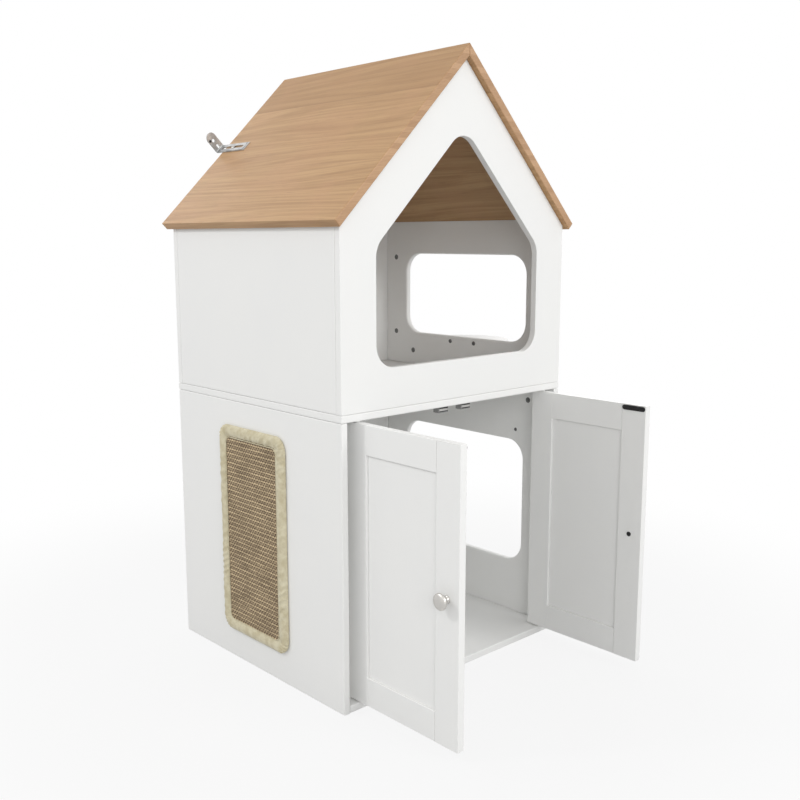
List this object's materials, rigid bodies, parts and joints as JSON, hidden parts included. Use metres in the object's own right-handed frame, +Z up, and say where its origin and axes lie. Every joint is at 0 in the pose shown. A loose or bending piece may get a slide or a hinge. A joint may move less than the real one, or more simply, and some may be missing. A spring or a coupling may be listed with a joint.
{
  "type": "cat litter box cabinet",
  "caption": "Pet cabinet: a litter box cupboard with hinged doors under a gabled cabin with a doorway, windows, an outside step, a scratching pad and an anti-tip bracket.",
  "frame": {"origin": "on the ground, under the middle of the cupboard's floor panel", "axes": "+Z up, -Y towards the doors at the front, +X towards the side with the windows"},
  "size_m": [0.7191, 0.8327, 1.2025],
  "materials": {
    "lacquer": "satin white lacquer",
    "oak": "satin oak",
    "sisal": "coarse woven sisal",
    "backing": "hardboard",
    "suede": "napped cloth",
    "white_plastic": "satin",
    "grey_plastic": "satin",
    "nickel": "satin nickel",
    "zinc": "bright zinc",
    "black_steel": "black",
    "magnet": "dull"
  },
  "bodies": {
    "cabinet": {"anti_tip_bracket": "zinc", "back_gable": "lacquer", "bracket_roof_screw": "nickel", "bracket_wall_screw": "nickel", "cam_lock_deck_front": "zinc", "cam_lock_deck_rear": "zinc", "cam_lock_front_high": "zinc", "cam_lock_front_low": "zinc", "cam_lock_rear_high": "zinc", "cam_lock_rear_low": "zinc", "cupboard_back_panel": "lacquer", "cupboard_wall_screw": "black_steel", "deck_panel": "lacquer", "floor_panel": "lacquer", "front_gable": "lacquer", "left_cabin_wall": "lacquer", "left_catch_housing": "grey_plastic", "left_catch_lower_pole": "black_steel", "left_catch_magnet": "magnet", "left_catch_upper_pole": "black_steel", "left_cupboard_side": "lacquer", "left_pivot_bottom_pin": "white_plastic", "left_pivot_top_pin": "white_plastic", "left_roof_board": "oak", "pad_binding": "suede", "right_cabin_wall": "lacquer", "right_catch_housing": "grey_plastic", "right_catch_lower_pole": "black_steel", "right_catch_magnet": "magnet", "right_catch_upper_pole": "black_steel", "right_cupboard_side": "lacquer", "right_pivot_bottom_pin": "white_plastic", "right_pivot_top_pin": "white_plastic", "right_roof_board": "oak", "scratch_pad_backing": "backing", "side_step": "lacquer", "sisal_mat": "sisal", "step_front_bolt": "black_steel", "step_rear_bolt": "black_steel"},
    "left_door": {"left_door_bottom_bushing": "white_plastic", "left_door_bottom_rail": "lacquer", "left_door_free_stile": "lacquer", "left_door_hinge_stile": "lacquer", "left_door_knob": "nickel", "left_door_knob_screw": "black_steel", "left_door_panel": "lacquer", "left_door_strike_plate": "black_steel", "left_door_top_bushing": "white_plastic", "left_door_top_rail": "lacquer"},
    "right_door": {"right_door_bottom_bushing": "white_plastic", "right_door_bottom_rail": "lacquer", "right_door_free_stile": "lacquer", "right_door_hinge_stile": "lacquer", "right_door_knob": "nickel", "right_door_knob_screw": "black_steel", "right_door_panel": "lacquer", "right_door_strike_plate": "black_steel", "right_door_top_bushing": "white_plastic", "right_door_top_rail": "lacquer"}
  },
  "joints": [
    {"name": "left_door_hinge", "type": "hinge", "parent": "cabinet", "child": "left_door", "pos_m": [-0.25775, -0.263, 0.276], "axis": [0, 0, 1], "range_deg": [-60, 90]},
    {"name": "right_door_hinge", "type": "hinge", "parent": "cabinet", "child": "right_door", "pos_m": [0.25775, -0.263, 0.276], "axis": [0, 0, 1], "range_deg": [-90, 60]}
  ]
}
